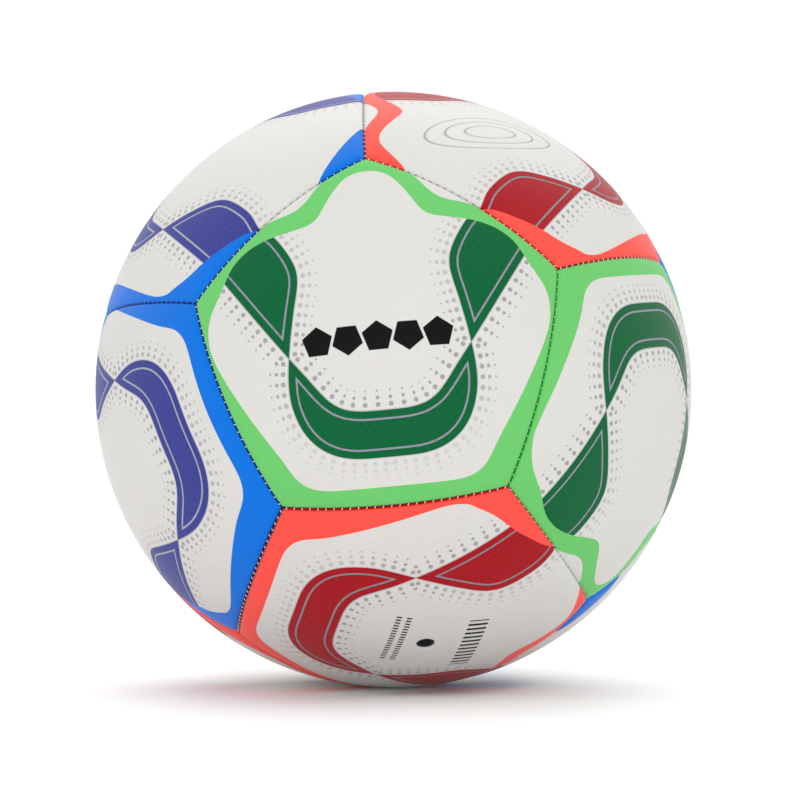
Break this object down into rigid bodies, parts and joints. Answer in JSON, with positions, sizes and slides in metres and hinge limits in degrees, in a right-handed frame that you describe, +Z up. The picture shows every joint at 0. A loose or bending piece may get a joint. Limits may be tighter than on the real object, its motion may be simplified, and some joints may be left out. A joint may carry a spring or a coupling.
{
  "type": "soccer ball",
  "caption": "Round inflatable playing ball of five-sided stitched panels over a rubber air bladder with a needle valve, for team ball games.",
  "frame": {"origin": "centre of the ball, which is also the centre of its box", "axes": "+Z up as the ball lies, -Y towards the front panel, +X to the right of someone who looks at the front panel. The ball rests on its lowest point, at -Z"},
  "size_m": [0.2192, 0.2192, 0.2194],
  "materials": {
    "skin_green": "satin coated polyurethane with a fine grain and small dimples, off-white with a printed bright green edge band and a dark green ribbon",
    "skin_red": "satin coated polyurethane with a fine grain and small dimples, off-white with a printed red edge band and a dark red ribbon",
    "skin_blue": "satin coated polyurethane with a fine grain and small dimples, off-white with a printed blue edge band and a navy ribbon",
    "backing": "matt foam with a woven polyester and cotton cloth on its inner side",
    "thread": "black waxed polyester sewing thread",
    "bladder": "black butyl rubber, dull",
    "valve": "black moulded rubber, satin"
  },
  "bodies": {
    "root": {"backing_back": "backing", "backing_back_left": "backing", "backing_back_lower_left": "backing", "backing_back_lower_right": "backing", "backing_back_right": "backing", "backing_back_top": "backing", "backing_bottom": "backing", "backing_front": "backing", "backing_left": "backing", "backing_right": "backing", "backing_upper_left": "backing", "backing_upper_right": "backing", "bladder": "bladder", "cover_back": "skin_green", "cover_back_left": "skin_green", "cover_back_lower_left": "skin_red", "cover_back_lower_right": "skin_blue", "cover_back_right": "skin_blue", "cover_back_top": "skin_red", "cover_bottom": "skin_red", "cover_front": "skin_green", "cover_left": "skin_blue", "cover_right": "skin_green", "cover_upper_left": "skin_blue", "cover_upper_right": "skin_red", "thread_back_back_left": "thread", "thread_back_back_lower_left": "thread", "thread_back_back_lower_right": "thread", "thread_back_back_right": "thread", "thread_back_back_top": "thread", "thread_back_lower_left_back_left": "thread", "thread_back_lower_left_back_lower_right": "thread", "thread_back_lower_left_bottom": "thread", "thread_back_lower_left_left": "thread", "thread_back_lower_right_back_right": "thread", "thread_back_lower_right_bottom": "thread", "thread_back_lower_right_right": "thread", "thread_back_right_back_top": "thread", "thread_back_right_right": "thread", "thread_back_top_back_left": "thread", "thread_bottom_right": "thread", "thread_front_bottom": "thread", "thread_front_left": "thread", "thread_front_right": "thread", "thread_front_upper_left": "thread", "thread_front_upper_right": "thread", "thread_left_back_left": "thread", "thread_left_bottom": "thread", "thread_upper_left_back_left": "thread", "thread_upper_left_back_top": "thread", "thread_upper_left_left": "thread", "thread_upper_right_back_right": "thread", "thread_upper_right_back_top": "thread", "thread_upper_right_right": "thread", "thread_upper_right_upper_left": "thread", "valve_core": "valve", "valve_patch": "valve", "valve_stem": "valve"}
  },
  "joints": []
}
